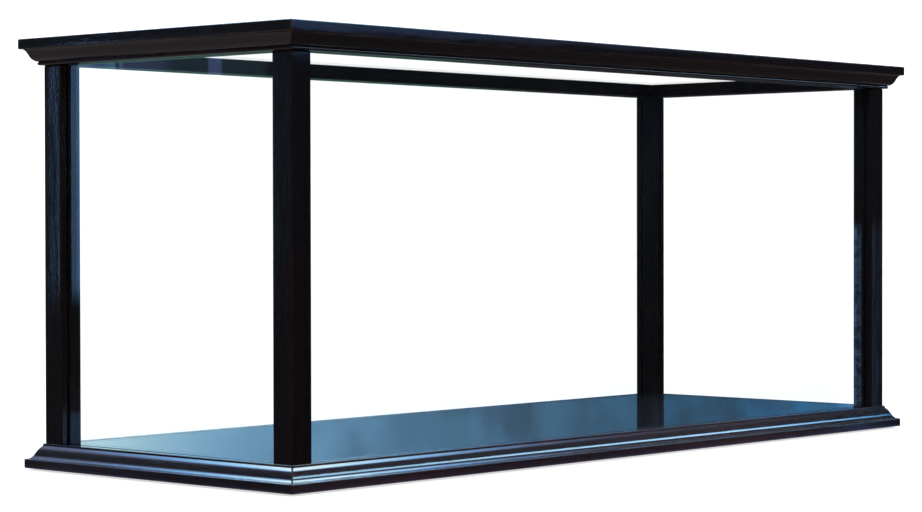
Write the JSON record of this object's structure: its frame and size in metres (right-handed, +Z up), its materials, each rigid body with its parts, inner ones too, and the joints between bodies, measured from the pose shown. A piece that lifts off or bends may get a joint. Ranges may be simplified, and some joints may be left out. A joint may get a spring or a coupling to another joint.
{
  "type": "display case",
  "caption": "Long table-top display case: dark lacquered moulded base, square posts, glass panes in grooves and a lift-off moulded lid with a glass top.",
  "frame": {"origin": "centre of the rectangle the case stands on, at the underside of its felt pads", "axes": "+X along the long side to the right, +Y from the front to the back, +Z up"},
  "size_m": [0.878, 0.335, 0.37],
  "materials": {
    "dark_lacquered_wood": "high-gloss espresso lacquer over a faint mahogany grain",
    "floor_lacquer": "polished, mirror-like dark lacquer",
    "plywood": "sanded, unfinished birch plywood",
    "beech": "planed, unfinished",
    "clear_glass": "clear float glass with a green tint at its polished edges",
    "zinc_steel": "bright zinc plate",
    "felt": "dense black wool felt"
  },
  "bodies": {
    "case": {"base_core_board": "plywood", "display_floor_panel": "floor_lacquer", "base_moulding_front": "dark_lacquered_wood", "base_moulding_back": "dark_lacquered_wood", "base_moulding_left": "dark_lacquered_wood", "base_moulding_right": "dark_lacquered_wood", "post_front_left": "dark_lacquered_wood", "post_front_right": "dark_lacquered_wood", "post_back_left": "dark_lacquered_wood", "post_back_right": "dark_lacquered_wood", "glass_front": "clear_glass", "glass_back": "clear_glass", "glass_left": "clear_glass", "glass_right": "clear_glass", "post_screw_front_left": "zinc_steel", "post_screw_front_right": "zinc_steel", "post_screw_back_left": "zinc_steel", "post_screw_back_right": "zinc_steel", "locating_pin_front_left": "zinc_steel", "locating_pin_front_right": "zinc_steel", "locating_pin_back_left": "zinc_steel", "locating_pin_back_right": "zinc_steel", "felt_pad_front_left": "felt", "felt_pad_front_right": "felt", "felt_pad_back_left": "felt", "felt_pad_back_right": "felt", "base_mitre_key_front_left": "beech", "base_mitre_key_front_right": "beech", "base_mitre_key_back_left": "beech", "base_mitre_key_back_right": "beech"},
    "lid": {"lid_crown_front": "dark_lacquered_wood", "lid_crown_back": "dark_lacquered_wood", "lid_crown_left": "dark_lacquered_wood", "lid_crown_right": "dark_lacquered_wood", "lid_bead_front": "dark_lacquered_wood", "lid_bead_back": "dark_lacquered_wood", "lid_bead_left": "dark_lacquered_wood", "lid_bead_right": "dark_lacquered_wood", "lid_glass_top": "clear_glass", "lid_mitre_key_front_left": "beech", "lid_mitre_key_front_right": "beech", "lid_mitre_key_back_left": "beech", "lid_mitre_key_back_right": "beech"}
  },
  "joints": [
    {"name": "lid_lift", "type": "slide", "parent": "case", "child": "lid", "axis": [0, 0, 1], "range_m": [0, 0.3]}
  ]
}
